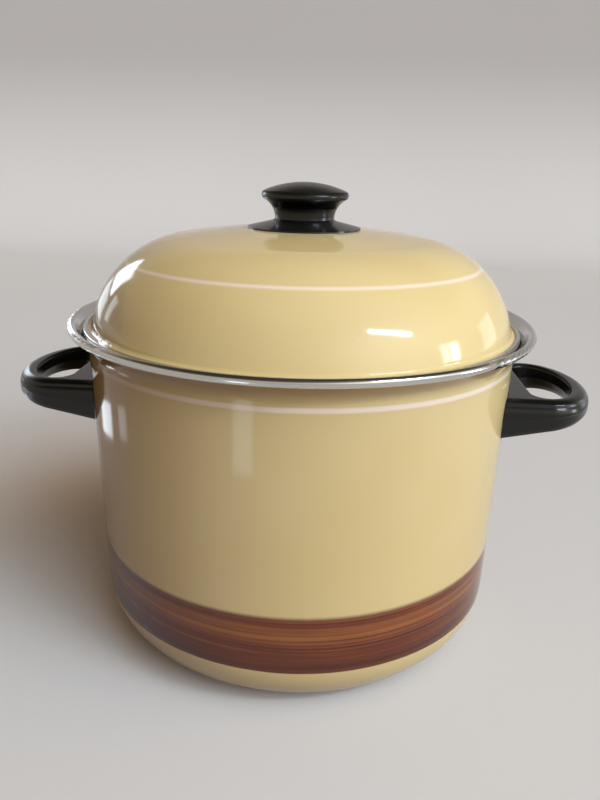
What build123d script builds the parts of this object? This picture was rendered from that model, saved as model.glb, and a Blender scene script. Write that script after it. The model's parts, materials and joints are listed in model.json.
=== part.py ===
"""Enamelled steel stockpot with a steel rim, two black side handles and a domed lid.

Sizes are in millimetres. The origin is the centre of the base, +Z is up and the handles lie along X.
Profiles of round pieces are drawn as (radius, height) and turned about Z.
"""

import os
from math import acos, asin, cos, degrees, radians, sin, sqrt, tan

from build123d import *

# Pot shell, a deep-drawn steel bowl whose mouth flares outwards
mouth_inner_radius = 120.0
pot_sheet = 1.2
pot_height = 188.2
wall_taper = 1.2  # degrees
corner_radius = 34.0
flare_angle = 40.0  # degrees from upright
flare_bend_radius = 8.0
flare_drop = 7.0  # from the rim ring down to the corner of wall and flare
lip_reach = 7.6  # from the wall out to the edge of the lip

# Rim ring, rolled round the lip of the shell
ring_height = 4.5
ring_overhang = 10.55  # from the wall out to the outer face of the ring
ring_round = 2.2
ring_inner_round = 2.5
ring_leg = 0.6  # thickness of the leg that lies on the flare
crimp_gap = 0.1

# Lid shell, a dome of two tangent arcs with a narrow brim
lid_sheet = 1.0
lid_overlap = 3.6  # from the mouth's radius out to the lid's edge
lid_seat_gap = 0.3
dome_height = 53.45  # from the brim up to the top of the dome
dome_inset = 4.4  # from the lid's edge in to the widest circle of the dome
crown_radius = 462.0
shoulder_radius = 56.2
brim_fillet = 2.5

# Edge ring, folded over the brim of the lid
edge_sheet = 0.8
edge_ring_width = 2.4
edge_ring_height = 3.2
edge_round = 0.8

# Knob and the plate under it
plate_radius = 31.7
plate_rim = 0.8
plate_height = 3.2
plate_gap = 0.1
plate_land_radius = 17.9
neck_radius = 16.6
neck_foot = 1.0
neck_sweep_radius = 12.0
neck_sweep = 62.0  # degrees
cap_edge_radius = 2.5
cap_crown_angle = 23.0  # degrees between the top's rim and the level
insert_radius = 5.0
insert_length = 11.0
insert_gap = 0.05
insert_chamfer = 0.4

# Knob screw and its washers, on the axis inside the dome
knob_thread_radius = 2.5
knob_thread_length = 9.0
knob_head_radius = 4.75
knob_head_height = 3.0
seal_washer_radius = 8.0
seal_washer_thickness = 1.0
lock_washer_radius = 4.6
lock_washer_thickness = 1.2

# Side handles, loops with two straight arms, an elliptic end and a finger hole
handle_drop = 34.5  # from the rim down to the top of the handle
handle_root_height = 20.9
handle_tip_height = 11.4
handle_reach = 47.4  # from the wall to the tip
handle_arm_length = 18.4  # from the wall to the elliptic end
handle_width = 86.0
handle_wall_gap = 0.3
handle_top_flat = 0.7  # left on top of an arm between its two rounded edges
handle_bottom_round = 3.4
hole_top_round = 2.0
hole_bottom_round = 3.2
hole_corner_width = 10.0  # of each rounded corner near the wall, measured across the loop
arm_width = 9.5
tip_thickness = 10.8  # from the finger hole to the tip
pad_thickness = 10.2  # from the wall to the finger hole

# Bracket, welded to the wall inside each handle
bracket_width = 36.0
bracket_height = 11.0
bracket_sheet = 1.5
weld_gap = 0.05
boss_radius = 5.0
boss_length = 4.6  # from the wall to the face that the handle seats on
bracket_clearance = 0.3

# Handle screw and washer, set into the finger hole's side of the handle
handle_thread_radius = 2.0
handle_thread_length = 3.4
handle_head_radius = 3.8
handle_head_height = 2.0
handle_washer_radius = 4.2
handle_washer_thickness = 0.8
sink_clearance = 0.4

# Shared by all fasteners
screw_hole_clearance = 0.25
thread_gap = 0.1
washer_gap = 0.2
slot_width = 1.0
slot_depth = 0.9
head_round = 0.8

# Worked out: the wall and the flare, whose outer faces meet at flare_corner
taper = radians(wall_taper)
flare = radians(flare_angle)
wall_top_radius = mouth_inner_radius + pot_sheet
ring_bottom = pot_height - ring_height
flare_corner = Vector(wall_top_radius, ring_bottom - flare_drop)
lip_along = Vector(sin(flare), cos(flare))
lip_out = Vector(cos(flare), -sin(flare))
ring_outer_radius = wall_top_radius + ring_overhang
ring_leg_out = -(pot_sheet + crimp_gap + ring_leg)


def wall_radius(height):
    """Outer radius of the tapered wall at a height."""
    return wall_top_radius - (flare_corner.Y - height) * tan(taper)


def lip_point(along, out):
    """Point beside the flare's outer face: a distance up along it and a distance out from it."""
    return flare_corner + lip_along * along + lip_out * out


def lip_along_at(height, out):
    """Distance along the flare at which a line parallel to it reaches a height."""
    return (height - flare_corner.Y + out * sin(flare)) / cos(flare)


# Pot shell
base_radius = wall_top_radius - (corner_radius + sin(taper) * (flare_corner.Y - corner_radius)) / cos(taper)
bend_turn = flare_angle - wall_taper
bend_tangent = flare_bend_radius * tan(radians(bend_turn) / 2)
bend_start = flare_corner - Vector(sin(taper), cos(taper)) * bend_tangent
lip_length = lip_reach / sin(flare)

with BuildPart() as pot_shell:
    with BuildSketch(Plane.XZ):
        with BuildLine():
            floor = Line((0, 0), (base_radius, 0))
            corner = JernArc(floor @ 1, floor % 1, corner_radius, 90 - wall_taper)
            side = Line(corner @ 1, bend_start)
            bend = JernArc(side @ 1, side % 1, flare_bend_radius, -bend_turn)
            Line(bend @ 1, lip_point(lip_length, 0))
            offset(amount=pot_sheet, side=Side.LEFT)
        make_face()
    revolve(axis=Axis.Z)

# Rim ring
inner_bend_tangent = (flare_bend_radius + pot_sheet) * tan(radians(bend_turn) / 2)
leg_start = inner_bend_tangent - pot_sheet * tan(radians(bend_turn) / 2)
lip_end = lip_length + crimp_gap
with BuildPart() as rim_ring:
    with BuildSketch(Plane.XZ):
        with BuildLine():
            Polyline(
                lip_point(lip_along_at(ring_bottom, crimp_gap), crimp_gap),
                (ring_outer_radius, ring_bottom),
                (ring_outer_radius, pot_height),
                lip_point(lip_along_at(pot_height, ring_leg_out), ring_leg_out),
                lip_point(leg_start, ring_leg_out),
                lip_point(leg_start, ring_leg_out + ring_leg),
                lip_point(lip_end, ring_leg_out + ring_leg),
                lip_point(lip_end, crimp_gap),
                close=True,
            )
        profile = make_face()
        outer_corners = profile.vertices().group_by(Axis.X)[-1]
        fillet(outer_corners, ring_round)
        top_corner = profile.vertices().group_by(Axis.Y)[-1].sort_by(Axis.X)[0]
        fillet(vertices().sort_by_distance(top_corner)[0], ring_inner_round)
    revolve(axis=Axis.Z)

# Lid edge ring. Its rounded lower corner clears the ring's leg by lid_seat_gap
edge_radius = mouth_inner_radius + lid_overlap
seat_line = lip_point(0, ring_leg_out)
round_centre_radius = edge_radius - edge_round
seat_rise = lid_seat_gap + edge_round + cos(flare) * (round_centre_radius - seat_line.X)
edge_bottom = seat_line.Y + seat_rise / sin(flare) - edge_round
edge_top = edge_bottom + edge_ring_height
brim_top = edge_top - edge_sheet - crimp_gap
brim_bottom = brim_top - lid_sheet
brim_radius = edge_radius - edge_sheet - crimp_gap
edge_inner_radius = edge_radius - edge_ring_width

with BuildPart() as lid_edge_ring:
    with BuildSketch(Plane.XZ):
        with BuildLine():
            Polyline(
                (edge_inner_radius, edge_bottom),
                (edge_radius, edge_bottom),
                (edge_radius, edge_top),
                (edge_inner_radius, edge_top),
                (edge_inner_radius, brim_top + crimp_gap),
                (brim_radius + crimp_gap, brim_top + crimp_gap),
                (brim_radius + crimp_gap, brim_bottom - crimp_gap),
                (edge_inner_radius, brim_bottom - crimp_gap),
                close=True,
            )
        profile = make_face()
        fillet(profile.vertices().group_by(Axis.X)[-1], edge_round)
    revolve(axis=Axis.Z)

# Lid shell
apex = brim_top + dome_height
dome_radius = edge_radius - dome_inset
shoulder_offset = dome_radius - shoulder_radius
centre_distance = crown_radius - shoulder_radius
crown_turn = degrees(asin(shoulder_offset / centre_distance))
shoulder_centre = apex - crown_radius + sqrt(centre_distance**2 - shoulder_offset**2)
fillet_rise = brim_top + brim_fillet - shoulder_centre
foot_turn = degrees(acos(fillet_rise / (shoulder_radius + brim_fillet)))

with BuildPart() as lid_shell:
    with BuildSketch(Plane.XZ):
        with BuildLine():
            crown = JernArc((0, apex), (1, 0), crown_radius, -crown_turn)
            shoulder = JernArc(crown @ 1, crown % 1, shoulder_radius, crown_turn - foot_turn)
            foot = JernArc(shoulder @ 1, shoulder % 1, brim_fillet, foot_turn)
            Line(foot @ 1, (brim_radius, brim_top))
            offset(amount=lid_sheet, side=Side.RIGHT)
        make_face()
    revolve(axis=Axis.Z)
    with Locations((0, 0, apex)):
        Hole(radius=knob_thread_radius + screw_hole_clearance, depth=2 * lid_sheet)

# Knob base plate, hollowed below to follow the dome
plate_top = apex + plate_height
plate_hollow_radius = crown_radius + plate_gap
plate_edge_bottom = apex - crown_radius + sqrt(plate_hollow_radius**2 - plate_radius**2)
plate_hole_radius = knob_thread_radius + screw_hole_clearance

with BuildPart() as knob_base_plate:
    with BuildSketch(Plane.XZ):
        with BuildLine():
            hollow = RadiusArc(
                (0, apex + plate_gap), (plate_radius, plate_edge_bottom), plate_hollow_radius
            )
            Polyline(
                hollow @ 1,
                (plate_radius, plate_edge_bottom + plate_rim),
                (plate_land_radius, plate_top),
                (0, plate_top),
                hollow @ 0,
            )
        make_face()
    revolve(axis=Axis.Z)
    with Locations((0, 0, plate_top)):
        Hole(radius=plate_hole_radius, depth=2 * plate_height)

# Knob, a mushroom whose neck sweeps out into the cap
with BuildPart() as knob:
    with BuildSketch(Plane.XZ):
        with BuildLine():
            seat = Line((0, plate_top), (plate_land_radius, plate_top))
            ankle = Line(seat @ 1, (neck_radius, plate_top + neck_foot))
            neck = JernArc(ankle @ 1, (0, 1), neck_sweep_radius, -neck_sweep)
            cap_turn = 90 + neck_sweep - cap_crown_angle
            cap_edge = JernArc(neck @ 1, neck % 1, cap_edge_radius, cap_turn)
            cap_rim = cap_edge @ 1
            knob_top = cap_rim.Y + cap_rim.X * tan(radians(cap_crown_angle) / 2)
            cap = TangentArc(cap_rim, (0, knob_top), tangent=cap_edge % 1)
            Line(cap @ 1, seat @ 0)
        make_face()
    revolve(axis=Axis.Z)
    with BuildSketch(Plane.XY.offset(plate_top)):
        Circle(insert_radius + insert_gap)
    extrude(amount=insert_length + insert_gap, mode=Mode.SUBTRACT)

with BuildPart() as knob_insert:
    with BuildSketch(Plane.XY.offset(plate_top)):
        Circle(insert_radius)
        Circle(knob_thread_radius + thread_gap, mode=Mode.SUBTRACT)
    extrude(amount=insert_length)
    top_edges = edges().filter_by(GeomType.CIRCLE).group_by(Axis.Z)[-1]
    chamfer(top_edges.sort_by(SortBy.RADIUS)[-1], insert_chamfer)


def make_screw(seat_plane, thread_radius, thread_length, head_radius, head_height):
    """Slotted screw: the head stands on the seat plane and the thread goes below it."""
    with BuildPart() as screw:
        with BuildSketch(seat_plane):
            Circle(head_radius)
        extrude(amount=head_height)
        fillet(faces().sort_by(Axis(seat_plane.origin, seat_plane.z_dir))[-1].edges(), head_round)
        with BuildSketch(seat_plane.offset(head_height)):
            Rectangle(2 * head_radius, slot_width)
        extrude(amount=-slot_depth, mode=Mode.SUBTRACT)
        with BuildSketch(seat_plane):
            Circle(thread_radius)
        extrude(amount=-thread_length)
    return screw.part


def make_washer(seat_plane, outer_radius, thread_radius, thickness):
    """Flat washer that stands on the seat plane."""
    with BuildPart() as washer:
        with BuildSketch(seat_plane):
            Circle(outer_radius)
            Circle(thread_radius + washer_gap, mode=Mode.SUBTRACT)
        extrude(amount=thickness)
    return washer.part


# Knob fixings, stacked downwards from the inside of the dome
dome_inner_radius = crown_radius - lid_sheet
seal_seat = apex - crown_radius + sqrt(dome_inner_radius**2 - seal_washer_radius**2)
lock_seat = seal_seat - seal_washer_thickness
head_seat = lock_seat - lock_washer_thickness
knob_seal_washer = make_washer(
    Plane((0, 0, seal_seat), z_dir=(0, 0, -1)), seal_washer_radius, knob_thread_radius, seal_washer_thickness
)
knob_lock_washer = make_washer(
    Plane((0, 0, lock_seat), z_dir=(0, 0, -1)), lock_washer_radius, knob_thread_radius, lock_washer_thickness
)
knob_screw = make_screw(
    Plane((0, 0, head_seat), z_dir=(0, 0, -1)),
    knob_thread_radius,
    plate_top - head_seat + knob_thread_length,
    knob_head_radius,
    knob_head_height,
)

# Bracket of the right handle: a plate that follows the wall and a threaded boss
handle_top = pot_height - handle_drop
handle_root_bottom = handle_top - handle_root_height
handle_middle = (handle_top + handle_root_bottom) / 2
wall_at_handle = wall_radius(handle_middle)
boss_face = wall_at_handle + boss_length
pad_face = wall_at_handle + pad_thickness
sink_depth = handle_head_height + handle_washer_thickness
sink_floor = pad_face - sink_depth


def wall_band(low, high, inner_gap, outer_gap):
    """Corners of a band that runs along the wall between two heights."""
    return (
        (wall_radius(low) + inner_gap, low),
        (wall_radius(low) + outer_gap, low),
        (wall_radius(high) + outer_gap, high),
        (wall_radius(high) + inner_gap, high),
    )


bracket_low = handle_middle - bracket_height / 2
bracket_high = handle_middle + bracket_height / 2
with BuildPart() as handle_bracket:
    with BuildSketch(Plane.XZ):
        Polygon(*wall_band(bracket_low, bracket_high, weld_gap, bracket_sheet), align=None)
    revolve(axis=Axis.Z)
    with Locations((wall_at_handle, 0, handle_middle)):
        Box(wall_at_handle, bracket_width, 2 * bracket_height, mode=Mode.INTERSECT)
    with BuildSketch(Plane.YZ.offset(wall_at_handle + bracket_sheet / 2)):
        with Locations((0, handle_middle)):
            Circle(boss_radius)
    extrude(amount=boss_length - bracket_sheet / 2)
    with Locations(Plane((boss_face, 0, handle_middle), x_dir=(0, 1, 0), z_dir=(1, 0, 0))):
        Hole(radius=handle_thread_radius + thread_gap, depth=handle_thread_length + thread_gap)

# Right handle. Its blank starts inside the wall, which then cuts it
loop_centre = wall_at_handle + handle_arm_length
loop_end_length = handle_reach - handle_arm_length
loop_half_width = handle_width / 2
hole_end_length = loop_end_length - tip_thickness
hole_half_width = loop_half_width - arm_width
handle_top_round = arm_width - hole_top_round - handle_top_flat
hole_corner_length = handle_arm_length - pad_thickness
hole_corner_start = hole_half_width - hole_corner_width
blank_root = wall_at_handle - loop_half_width
blank_bottom = handle_root_bottom - handle_root_height
underside_slope = (handle_root_height - handle_tip_height) / handle_reach
underside = Plane(
    (wall_at_handle, 0, handle_root_bottom),
    x_dir=(1, 0, underside_slope),
    z_dir=(-underside_slope, 0, 1),
)

with BuildPart() as handle:
    with BuildSketch(Plane.XY.offset(handle_top)):
        with BuildLine():
            end = EllipticalCenterArc((loop_centre, 0), loop_end_length, loop_half_width, -90, arc_size=180)
            Polyline(end @ 1, (blank_root, loop_half_width), (blank_root, -loop_half_width), end @ 0)
        make_face()
        with BuildLine():
            EllipticalCenterArc((loop_centre, 0), hole_end_length, hole_half_width, -90, arc_size=180)
            hole_corner = EllipticalCenterArc(
                (loop_centre, hole_corner_start), hole_corner_length, hole_corner_width, 90, arc_size=90
            )
            mirror(hole_corner, about=Plane.XZ)
            Line((pad_face, -hole_corner_start), (pad_face, hole_corner_start))
        make_face(mode=Mode.SUBTRACT)
    extrude(amount=blank_bottom - handle_top)
    split(bisect_by=underside, keep=Keep.TOP)
    for side, outer_round, hole_round in (
        (-1, handle_top_round, hole_top_round),
        (0, handle_bottom_round, hole_bottom_round),
    ):
        rim = faces().filter_by(GeomType.PLANE).sort_by(Axis.Z)[side].outer_wire().edges()
        fillet(rim.sort_by(Axis.X)[1:], outer_round)
        fillet(faces().filter_by(GeomType.PLANE).sort_by(Axis.Z)[side].inner_wires().edges(), hole_round)
    with BuildSketch(Plane.XZ):
        Polygon(*wall_band(blank_bottom, handle_top, -wall_at_handle / 2, handle_wall_gap), align=None)
    revolve(axis=Axis.Z, mode=Mode.SUBTRACT)
    with BuildSketch(Plane.XZ):
        Polygon(
            *wall_band(
                bracket_low - bracket_clearance,
                bracket_high + bracket_clearance,
                0,
                bracket_sheet + bracket_clearance,
            ),
            align=None,
        )
    plate_seat = revolve(axis=Axis.Z, mode=Mode.PRIVATE)
    with Locations((wall_at_handle, 0, handle_middle)):
        seat_limit = Box(
            wall_at_handle, bracket_width + 2 * bracket_clearance, handle_width, mode=Mode.PRIVATE
        )
    add(plate_seat & seat_limit, mode=Mode.SUBTRACT)
    with BuildSketch(Plane.YZ.offset(boss_face)):
        with Locations((0, handle_middle)):
            Circle(boss_radius + bracket_clearance)
    extrude(amount=-boss_length, mode=Mode.SUBTRACT)
    with Locations(Plane((pad_face, 0, handle_middle), x_dir=(0, 1, 0), z_dir=(1, 0, 0))):
        CounterBoreHole(
            radius=handle_thread_radius + screw_hole_clearance,
            counter_bore_radius=handle_washer_radius + sink_clearance,
            counter_bore_depth=sink_depth,
            depth=pad_thickness,
        )

handle_washer = make_washer(
    Plane((sink_floor, 0, handle_middle), x_dir=(0, 1, 0), z_dir=(1, 0, 0)),
    handle_washer_radius,
    handle_thread_radius,
    handle_washer_thickness,
)
handle_screw_seat = sink_floor + handle_washer_thickness
handle_screw = make_screw(
    Plane((handle_screw_seat, 0, handle_middle), x_dir=(0, 1, 0), z_dir=(1, 0, 0)),
    handle_thread_radius,
    handle_screw_seat - boss_face + handle_thread_length,
    handle_head_radius,
    handle_head_height,
)

# Every piece under its name. The left handle mirrors the right one
pieces = {
    "pot_shell": pot_shell.part,
    "rim_ring": rim_ring.part,
    "lid_shell": lid_shell.part,
    "lid_edge_ring": lid_edge_ring.part,
    "knob": knob.part,
    "knob_base_plate": knob_base_plate.part,
    "knob_insert": knob_insert.part,
    "knob_screw": knob_screw,
    "knob_lock_washer": knob_lock_washer,
    "knob_seal_washer": knob_seal_washer,
}
right_side = {
    "handle": handle.part,
    "handle_bracket": handle_bracket.part,
    "handle_screw": handle_screw,
    "handle_washer": handle_washer,
}
for name, piece in right_side.items():
    with BuildPart() as opposite:
        mirror(piece, about=Plane.YZ)
    pieces["right_" + name] = piece
    pieces["left_" + name] = opposite.part

os.makedirs("parts", exist_ok=True)
for name, piece in pieces.items():
    piece.label = name
    export_step(piece, f"parts/{name}.step")
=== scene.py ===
"""Finishes, light and camera for an enamelled stockpot with a domed lid. Lengths are in metres."""

import json
from math import cos, radians, sin

import bmesh
import bpy
from mathutils import Matrix, Quaternion, Vector

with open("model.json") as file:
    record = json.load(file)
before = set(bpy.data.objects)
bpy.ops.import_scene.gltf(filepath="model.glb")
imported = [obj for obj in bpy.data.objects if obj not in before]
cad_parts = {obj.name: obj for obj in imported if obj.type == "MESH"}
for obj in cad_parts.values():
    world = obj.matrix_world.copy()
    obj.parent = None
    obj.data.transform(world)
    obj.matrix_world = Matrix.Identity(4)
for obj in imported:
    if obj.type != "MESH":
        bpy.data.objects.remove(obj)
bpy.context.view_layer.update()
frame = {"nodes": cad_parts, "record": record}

MILLIMETRE = 0.001

# What is painted on the enamel: heights above the base and radii from the axis, in millimetres
band_low = 29.8
band_high = 62.8
band_low_softness = 0.6
band_high_softness = 3.0
pot_line_height = 170.8
pot_line_width = 2.4
lid_line_radius = 99.1
lid_line_width = 1.5
line_softness = 1.4

# How far below the band's high edge its brown starts to turn dull, and where it is dullest
dull_edge_start = 2.8
dull_edge_end = 0.8

# The band from its low edge, 0, to its high edge, 1: how light the brown is, and how dark its grooves are
band_lightness = [
    (0.0, 0.32),
    (0.15, 0.2),
    (0.3, 0.42),
    (0.45, 0.48),
    (0.65, 0.82),
    (0.8, 0.66),
    (0.9, 0.46),
]
band_grooves = [(0.14, 0.16), (0.4, 0.3), (0.47, 0.36), (0.86, 0.14)]
groove_width = 0.02

# Where the scuffs of the underside end, above the surface that the pot stands on, in millimetres
scuff_low = 0.1
scuff_high = 0.9

# Where the two halves of the handles' mould meet: height at the wall, rise per length, draft
parting_height = 142.6
parting_rise = 0.11
mould_draft = 0.12
wall_radius = 120.0

enamel_index = 1.52
resin_index = 1.45


def colour(red, green, blue):
    """A screen colour, each channel from 0 to 255, as the linear colour that shaders take."""
    channels = []
    for level in (red, green, blue):
        share = level / 255
        if share <= 0.04045:
            channels.append(share / 12.92)
        else:
            channels.append(((share + 0.055) / 1.055) ** 2.4)
    return (*channels, 1.0)


yellow = colour(218, 196, 135)
yellow_deep = colour(212, 188, 124)
cream = colour(243, 224, 198)
ivory = colour(228, 222, 204)
ivory_warm = colour(220, 212, 190)
brown_dark = colour(58, 15, 3)
brown_middle = colour(108, 46, 14)
brown_light = colour(156, 94, 42)
brown_edge = colour(104, 62, 48)
speck_brown = colour(120, 92, 58)
scuff_grey = colour(120, 112, 98)
steel_dark = colour(196, 195, 194)
steel_light = colour(218, 217, 215)
resin_black = colour(11, 11, 10)
resin_grey = colour(20, 20, 18)
brass_dark = colour(176, 132, 58)
brass_light = colour(206, 166, 92)
plating_dark = colour(150, 148, 145)
plating_light = colour(190, 188, 184)
rubber_dark = colour(118, 116, 110)
rubber_light = colour(146, 143, 136)
board_dark = colour(206, 203, 190)
board_light = colour(212, 209, 197)
board_bounce = colour(96, 72, 56)
room_wall = colour(205, 197, 179)
room_ceiling = colour(66, 64, 62)


class Signal:
    """An output of a node. Arithmetic on signals adds Math nodes."""

    def __init__(self, nodes, socket):
        self.nodes = nodes
        self.socket = socket

    def output(self, key):
        """Another output of the same node, by name or number."""
        return Signal(self.nodes, self.socket.node.outputs[key])

    def __add__(self, other):
        return self.nodes.math("ADD", self, other)

    def __radd__(self, other):
        return self.nodes.math("ADD", other, self)

    def __sub__(self, other):
        return self.nodes.math("SUBTRACT", self, other)

    def __rsub__(self, other):
        return self.nodes.math("SUBTRACT", other, self)

    def __mul__(self, other):
        return self.nodes.math("MULTIPLY", self, other)

    def __rmul__(self, other):
        return self.nodes.math("MULTIPLY", other, self)

    def __truediv__(self, other):
        return self.nodes.math("DIVIDE", self, other)

    def __rtruediv__(self, other):
        return self.nodes.math("DIVIDE", other, self)

    def __abs__(self):
        return self.nodes.math("ABSOLUTE", self)


class Nodes:
    """A node tree to which nodes are added."""

    def __init__(self, tree):
        self.tree = tree

    def node(self, kind, settings=None, sockets=None):
        """Adds a node: settings are its properties or a ramp's stops, sockets take values or signals."""
        made = self.tree.nodes.new(kind)
        for name, value in (settings or {}).items():
            if name == "stops":
                ramp = made.color_ramp.elements
                while len(ramp) < len(value):
                    ramp.new(1.0)
                for stop, (position, shade) in zip(ramp, value):
                    stop.position = position
                    stop.color = shade
            else:
                setattr(made, name, value)
        self.feed(made, sockets or {})
        return Signal(self, made.outputs[0])

    def feed(self, made, sockets):
        """Sets or links the inputs of a node."""
        for name, value in sockets.items():
            if isinstance(value, Signal):
                self.tree.links.new(value.socket, made.inputs[name])
            else:
                made.inputs[name].default_value = value

    def math(self, operation, *values):
        """A Math node's result."""
        return self.node("ShaderNodeMath", {"operation": operation}, dict(enumerate(values)))

    def blend(self, factor, below, above):
        """A colour between two others."""
        sockets = {0: factor, 6: below, 7: above}
        return self.node("ShaderNodeMix", {"data_type": "RGBA"}, sockets).output(2)

    def rise(self, value, low, high):
        """A soft step: 0 below low and 1 above high."""
        sockets = {"Value": value, "From Min": low, "From Max": high}
        return self.node("ShaderNodeMapRange", {"interpolation_type": "SMOOTHSTEP"}, sockets)

    def in_sight(self):
        """1 where the camera looks, straight or by way of gloss or glass, and 0 for light on its way."""
        ray = self.node("ShaderNodeLightPath")
        mirrored = self.math("MAXIMUM", ray.output("Is Glossy Ray"), ray.output("Is Transmission Ray"))
        return self.math("MAXIMUM", ray.output("Is Camera Ray"), mirrored)


class Finish(Nodes):
    """A material with a Principled surface. Its x, y, height and radius are in millimetres."""

    def __init__(self, name, **constants):
        self.material = bpy.data.materials.new(name)
        self.material.use_nodes = True
        super().__init__(self.material.node_tree)
        self.surface = self.tree.nodes["Principled BSDF"]
        self.feed(self.surface, constants)
        place = self.node("ShaderNodeTexCoord")
        self.place = place.output("Object")
        self.facing = self.node("ShaderNodeSeparateXYZ", {}, {0: place.output("Normal")})
        spread = self.node("ShaderNodeSeparateXYZ", {}, {0: self.place})
        self.x = spread.output("X") / MILLIMETRE
        self.y = spread.output("Y") / MILLIMETRE
        self.height = spread.output("Z") / MILLIMETRE
        self.radius = self.math("SQRT", self.x * self.x + self.y * self.y)

    def stripe(self, value, middle, width, softness):
        """1 within a stripe, with soft edges."""
        return 1 - self.rise(abs(value - middle), (width - softness) / 2, (width + softness) / 2)

    def edge(self, value, middle, softness):
        """A soft step around a middle value."""
        return self.rise(value, middle - softness / 2, middle + softness / 2)

    def noise(self, stretch, detail=3.0, roughness=0.5):
        """Noise around 0.5 with so many waves per metre along X, Y and Z."""
        mapped = self.node("ShaderNodeMapping", {}, {"Vector": self.place, "Scale": stretch})
        sockets = {"Vector": mapped, "Scale": 1.0, "Detail": detail, "Roughness": roughness}
        return self.node("ShaderNodeTexNoise", {}, sockets)

    def specks(self, cells_per_metre, size):
        """1 in small scattered dots; size is their radius as a share of a cell."""
        sockets = {"Vector": self.place, "Scale": cells_per_metre}
        return 1 - self.rise(self.node("ShaderNodeTexVoronoi", {}, sockets), size * 0.6, size)

    def bump(self, height, distance, strength):
        """A surface normal from a height signal that is worth so many metres."""
        sockets = {"Height": height, "Distance": distance, "Strength": strength}
        return self.node("ShaderNodeBump", {}, sockets)

    def outward(self):
        """How far the surface faces away from the pot's axis, from -1 to 1."""
        along = self.facing.output("X") * self.x + self.facing.output("Y") * self.y
        return along / self.math("MAXIMUM", self.radius, 1.0)

    def wear(self, **signals):
        """Links signals to the surface and gives the material."""
        names = {"base_color": "Base Color", "roughness": "Roughness", "normal": "Normal"}
        self.feed(self.surface, {names[key]: value for key, value in signals.items()})
        return self.material


def plain_enamel(finish):
    """The yellow ground, faintly clouded and with a few specks burnt into it."""
    clouds = finish.rise(finish.noise((9, 9, 9), 2.0), 0.3, 0.75)
    ground = finish.blend(clouds, yellow, yellow_deep)
    return finish.blend(finish.specks(210, 0.05) * 0.5, ground, speck_brown)


def white_enamel(finish):
    """The pale ground coat of the inside, with a fine sprinkle."""
    clouds = finish.rise(finish.noise((12, 12, 12), 3.0), 0.3, 0.7)
    ground = finish.blend(clouds, ivory, ivory_warm)
    return finish.blend(finish.specks(260, 0.09) * 0.6, ground, speck_brown)


def fire(finish, base):
    """Gloss and the orange peel of fired enamel."""
    smudges = finish.noise((26, 26, 26), 4.0, 0.6)
    peel = finish.noise((230, 230, 230), 2.0)
    slump = finish.noise((24, 24, 16), 1.0)
    relief = finish.bump(slump + peel * 0.12, 0.0004, 0.35)
    return finish.wear(base_color=base, roughness=0.05 + smudges * 0.09, normal=relief)


def brushed_band(finish):
    """Brown slip laid on with a brush while the pot turned: streaks run round at a steady height."""
    across = (finish.height - band_low) / (band_high - band_low)
    greys = [(place, (level, level, level, 1.0)) for place, level in band_lightness]
    ground = finish.node("ShaderNodeValToRGB", {"stops": greys}, {0: across})
    broad = finish.noise((3, 3, 140), 2.0) - 0.5
    blotches = finish.noise((34, 34, 110), 3.0) - 0.5
    streaks = finish.noise((2.5, 2.5, 520), 3.0, 0.6) - 0.5
    hairs = finish.noise((6, 6, 1500), 2.0) - 0.5
    tone = ground + broad * 0.5 + blotches * 0.3 + streaks * 1.0 + hairs * 0.7
    drift = (finish.noise((10, 10, 10), 1.0) - 0.5) * 0.05
    for groove, depth in band_grooves:
        tone = tone - finish.stripe(across + drift, groove, groove_width, groove_width) * depth
    browns = [(0.0, brown_dark), (0.5, brown_middle), (1.0, brown_light)]
    return finish.node("ShaderNodeValToRGB", {"stops": browns}, {0: tone})


def pot_enamel():
    """Yellow outside with a brushed brown band and a cream line, scuffed underneath, pale inside."""
    finish = Finish("pot_enamel", IOR=enamel_index)
    wander = finish.noise((14, 14, 14), 3.0) - 0.5
    height = finish.height + wander
    line = finish.stripe(finish.height + wander * 0.5, pot_line_height, pot_line_width, line_softness)
    painted = finish.blend(line * 0.9, plain_enamel(finish), cream)
    dull_edge = finish.rise(height, band_high - dull_edge_start, band_high - dull_edge_end)
    band = finish.blend(dull_edge * 0.6, brushed_band(finish), brown_edge)
    above_low_edge = finish.edge(height, band_low, band_low_softness)
    above_high_edge = finish.edge(height, band_high, band_high_softness)
    painted = finish.blend(above_low_edge * (1 - above_high_edge), painted, band)
    scratches = finish.rise(finish.noise((40, 900, 40), 3.0, 0.7), 0.5, 0.72)
    standing = 1 - finish.rise(finish.height, scuff_low, scuff_high)
    painted = finish.blend(standing * (0.2 + scratches * 0.6), painted, scuff_grey)
    outside = finish.rise(finish.outward() - finish.facing.output("Z"), -0.05, 0.05)
    return fire(finish, finish.blend(outside, white_enamel(finish), painted))


def lid_enamel():
    """Yellow on top with a cream line round the shoulder, pale inside."""
    finish = Finish("lid_enamel", IOR=enamel_index)
    wander = finish.noise((14, 14, 14), 3.0) - 0.5
    line = finish.stripe(finish.radius + wander * 0.5, lid_line_radius, lid_line_width, line_softness)
    painted = finish.blend(line * 0.7, plain_enamel(finish), cream)
    outside = finish.rise(finish.outward() + finish.facing.output("Z"), -0.05, 0.05)
    return fire(finish, finish.blend(outside, white_enamel(finish), painted))


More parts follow.
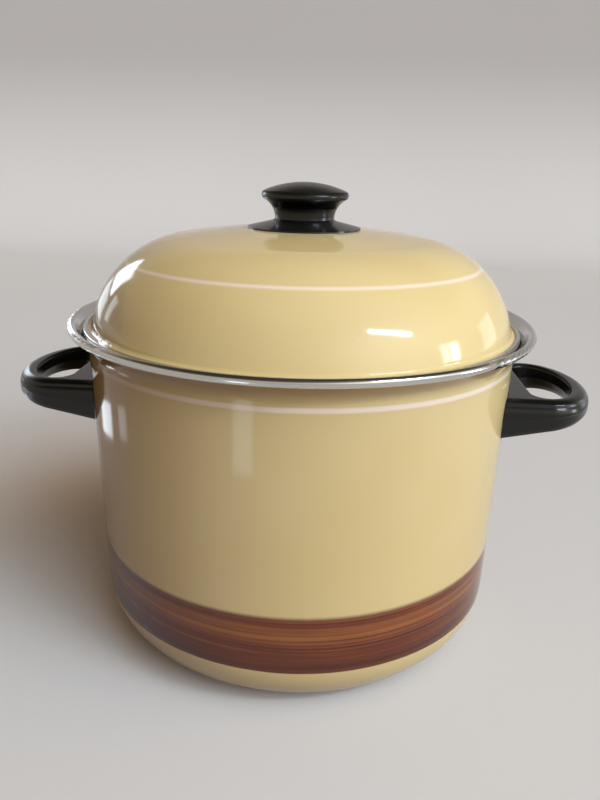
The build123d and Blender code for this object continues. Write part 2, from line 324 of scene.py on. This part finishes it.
def polished_steel():
    """Rolled stainless strip with fine lines round the pot's axis."""
    finish = Finish("polished_steel", Metallic=1.0)
    turn = finish.math("ARCTAN2", finish.y, finish.x)
    lengthwise = {0: turn * 3.0, 1: finish.radius * 6.0, 2: finish.height * 6.0}
    along = finish.node("ShaderNodeCombineXYZ", {}, lengthwise)
    lines = finish.node("ShaderNodeTexNoise", {}, {"Vector": along, "Scale": 1.0, "Detail": 4.0})
    smudges = finish.rise(finish.noise((30, 30, 30), 3.0), 0.45, 0.75)
    shade = finish.blend(lines, steel_dark, steel_light)
    relief = finish.bump(lines, 0.00002, 0.2)
    return finish.wear(base_color=shade, roughness=0.11 + smudges * 0.07 + lines * 0.05, normal=relief)


def black_resin():
    """Moulded phenolic resin: glossy, nearly black, with the mould's parting line and handling marks."""
    finish = Finish("black_resin", IOR=resin_index)
    marks = finish.noise((60, 60, 60), 5.0, 0.65)
    flow = finish.noise((18, 18, 40), 3.0)
    shade = finish.blend(flow, resin_black, resin_grey)
    from_parting = abs(finish.height - parting_height - (abs(finish.x) - wall_radius) * parting_rise)
    flash = 1 - finish.rise(from_parting, 0.05, 0.25)
    grain = finish.noise((420, 420, 420), 3.0)
    side = 1 - finish.rise(abs(finish.facing.output("Z")), 0.5, 0.8)
    mould = (flash * 0.06 - from_parting * mould_draft) * side
    relief = finish.bump(mould + grain * 0.006, MILLIMETRE, 1.0)
    return finish.wear(base_color=shade, roughness=0.16 + marks * 0.1, normal=relief)


def turned_metal(name, dark, light):
    """Small turned fasteners with tool marks and a little tarnish."""
    finish = Finish(name, Metallic=1.0)
    marks = finish.noise((900, 900, 900), 3.0)
    tarnish = finish.noise((160, 160, 160), 4.0, 0.6)
    shade = finish.blend(tarnish, dark, light)
    relief = finish.bump(marks, 0.00003, 0.4)
    return finish.wear(base_color=shade, roughness=0.24 + tarnish * 0.22, normal=relief)


def grey_rubber():
    """Heat-resistant rubber with a matt, slightly mottled face."""
    finish = Finish("grey_rubber")
    grain = finish.noise((700, 700, 700), 3.0)
    shade = finish.blend(grain, rubber_dark, rubber_light)
    relief = finish.bump(grain, 0.00005, 0.4)
    return finish.wear(base_color=shade, roughness=0.6 + grain * 0.2, normal=relief)


finishes = {
    "pot_enamel": pot_enamel(),
    "lid_enamel": lid_enamel(),
    "rim_steel": polished_steel(),
    "black_resin": black_resin(),
    "insert_brass": turned_metal("insert_brass", brass_dark, brass_light),
    "fastener_steel": turned_metal("fastener_steel", plating_dark, plating_light),
    "seal_rubber": grey_rubber(),
}
for subpart in frame["record"]["subparts"]:
    piece = frame["nodes"][subpart["node"]]
    piece.material_slots[0].material = finishes[subpart["material_slot"]]

# Stage: a pale floor that sweeps up into a backdrop
floor_half_width = 10.0
floor_front = -3.0
backdrop_distance = 1.6
backdrop_height = 0.9
sweep_radius = 0.6
sweep_steps = 16

# Heights between which the board's bounced light grows to its full colour, in millimetres
bounce_low = 50
bounce_high = 500


def pale_backdrop():
    """Matt painted board, a little uneven.

    The floor throws back little light, so that the pot keeps its shade.
    """
    finish = Finish("pale_backdrop")
    finish.feed(finish.surface, {"Specular IOR Level": 0.0})
    cloud = finish.noise((1.5, 1.5, 1.5), 2.0)
    shade = finish.blend(cloud, board_dark, board_light)
    bounce = finish.blend(finish.rise(finish.height, bounce_low, bounce_high), board_bounce, shade)
    shade = finish.blend(finish.in_sight(), bounce, shade)
    return finish.wear(base_color=shade, roughness=0.75 + cloud * 0.1)


def corners(grown):
    """The vertices among what an operator made."""
    return [item for item in grown if isinstance(item, bmesh.types.BMVert)]


sweep = bmesh.new()
floor_edge = [sweep.verts.new((-floor_half_width, floor_front, 0))]
floor_end = bmesh.ops.extrude_vert_indiv(sweep, verts=floor_edge)["verts"]
bmesh.ops.translate(sweep, verts=floor_end, vec=(0, backdrop_distance - floor_front, 0))
bend = bmesh.ops.spin(
    sweep,
    geom=floor_end,
    cent=(-floor_half_width, backdrop_distance, sweep_radius),
    axis=(1, 0, 0),
    angle=radians(90),
    steps=sweep_steps,
)["geom_last"]
backdrop_top = bmesh.ops.extrude_vert_indiv(sweep, verts=corners(bend))["verts"]
bmesh.ops.translate(sweep, verts=backdrop_top, vec=(0, 0, backdrop_height))
far_side = bmesh.ops.extrude_edge_only(sweep, edges=sweep.edges[:])["geom"]
bmesh.ops.translate(sweep, verts=corners(far_side), vec=(2 * floor_half_width, 0, 0))
bmesh.ops.recalc_face_normals(sweep, faces=sweep.faces[:])
stage_mesh = bpy.data.meshes.new("backdrop")
sweep.to_mesh(stage_mesh)
sweep.free()
stage_mesh.shade_smooth()
stage_mesh.materials.append(pale_backdrop())
backdrop = bpy.data.objects.new("backdrop", stage_mesh)
bpy.context.scene.collection.objects.link(backdrop)

# Light: a sky that is brightest to the front right, and small windows that show in the gloss
day_light = (0.89, 1.05, 1.34)
room_light = (1.0, 0.66, 0.42)
cool_light = (0.8, 0.91, 1.0)
sky_azimuth = 127
sky_elevation = 35
sky_focus = 8.5
sky_peak = 6.3
sky_floor = 0.13
sky_gleam = 3.5
full_daylight = 0.7
wall_top = 0.3
ceiling_start = 0.75
lamp_target = Vector((0, 0, 0.15))
window_distance = 1.3
curtain_distance = 1.26
sill_distance = 0.4
front_distance = 0.36


def direction(azimuth, elevation):
    """A unit vector; azimuth is clockwise from +Y, seen from above."""
    turn = radians(azimuth)
    level = cos(radians(elevation))
    return Vector((sin(turn) * level, cos(turn) * level, sin(radians(elevation))))


def softbox(
    name, azimuth, elevation, width, height, power,
    distance=window_distance, tint=cool_light, roll=0, lights=False,
):
    """A rectangular lamp that faces the pot and shows in its gloss. Some light matt surfaces too."""
    towards = direction(azimuth, elevation)
    lamp = bpy.data.lights.new(name, "AREA")
    lamp.shape = "RECTANGLE"
    lamp.size = width
    lamp.size_y = height
    lamp.energy = power
    lamp.color = tint
    holder = bpy.data.objects.new(name, lamp)
    holder.location = lamp_target + towards * distance
    facing = (-towards).to_track_quat("-Z", "Y") @ Quaternion((0, 0, 1), radians(roll))
    holder.rotation_euler = facing.to_euler()
    holder.visible_camera = False
    holder.visible_diffuse = lights
    bpy.context.scene.collection.objects.link(holder)


softbox("high_window", 127, 34.8, width=0.46, height=0.075, power=3.5, tint=day_light, roll=-29, lights=True)
softbox("right_pane_near", 101.5, 8, width=0.08, height=0.33, power=0.75)
softbox("right_pane_far", 95.5, 7, width=0.12, height=0.33, power=1.5)
softbox("right_curtain", 65, 7, width=0.32, height=0.33, power=0.5, distance=curtain_distance)
softbox("left_pane_high", -46, 16, width=0.32, height=0.32, power=1.6)
softbox("left_pane_low", -45, 2, width=0.32, height=0.22, power=0.38)
softbox("left_pane_side", -61, 8, width=0.13, height=0.27, power=0.2)
softbox("left_sill", -73, -18.5, width=0.09, height=0.034, power=0.03, distance=sill_distance)
softbox("left_sill_end", -91, -18, width=0.045, height=0.03, power=0.005, distance=sill_distance)
softbox("front_pane", -160, -14, width=0.05, height=0.08, power=0.02, distance=front_distance)

# World: the sky gives the light, and the camera and the gloss see a pale room in its place
world = bpy.data.worlds.new("studio")
world.use_nodes = True
sky = Nodes(world.node_tree)
looking = sky.node("ShaderNodeTexCoord").output("Generated")
brightest = direction(sky_azimuth, sky_elevation)
nearness = sky.node("ShaderNodeVectorMath", {"operation": "DOT_PRODUCT"}, {0: looking, 1: brightest})
lobe = sky.math("POWER", sky.math("MAXIMUM", nearness.output("Value"), 0.0), sky_focus)
sky_tint = sky.blend(sky.rise(lobe, 0.0, full_daylight), (*room_light, 1.0), (*day_light, 1.0))
sky_strength = sky_floor + lobe * sky_peak
sky_light = sky.node("ShaderNodeBackground", {}, {"Color": sky_tint, "Strength": sky_strength})
upward = sky.node("ShaderNodeSeparateXYZ", {}, {0: looking}).output("Z")
room = sky.blend(sky.rise(upward, wall_top, ceiling_start), room_wall, room_ceiling)
gleam = sky.node("ShaderNodeLightPath").output("Is Glossy Ray") * lobe * sky_gleam
room_view = sky.node("ShaderNodeBackground", {}, {"Color": room, "Strength": 1 + gleam})
surroundings = sky.node("ShaderNodeMixShader", {}, {0: sky.in_sight(), 1: sky_light, 2: room_view})
sky.feed(world.node_tree.nodes["World Output"], {"Surface": surroundings})
bpy.context.scene.world = world
bpy.context.scene.view_settings.view_transform = "Standard"

# Camera, as the photo was taken: a little to the right, looking down
camera_place = Vector((0.0241, -0.4080, 0.2738))
camera_heading = 3.38
camera_pitch = 18.8
camera_roll = 1.45
camera_lens = 31.8
camera_near_limit = 0.01

camera_data = bpy.data.cameras.new("camera")
camera_data.lens = camera_lens
camera_data.clip_start = camera_near_limit
camera = bpy.data.objects.new("camera", camera_data)
camera.matrix_world = (
    Matrix.Translation(camera_place)
    @ Matrix.Rotation(radians(camera_heading), 4, "Z")
    @ Matrix.Rotation(radians(90 - camera_pitch), 4, "X")
    @ Matrix.Rotation(radians(camera_roll), 4, "Z")
)
bpy.context.scene.collection.objects.link(camera)
bpy.context.scene.camera = camera
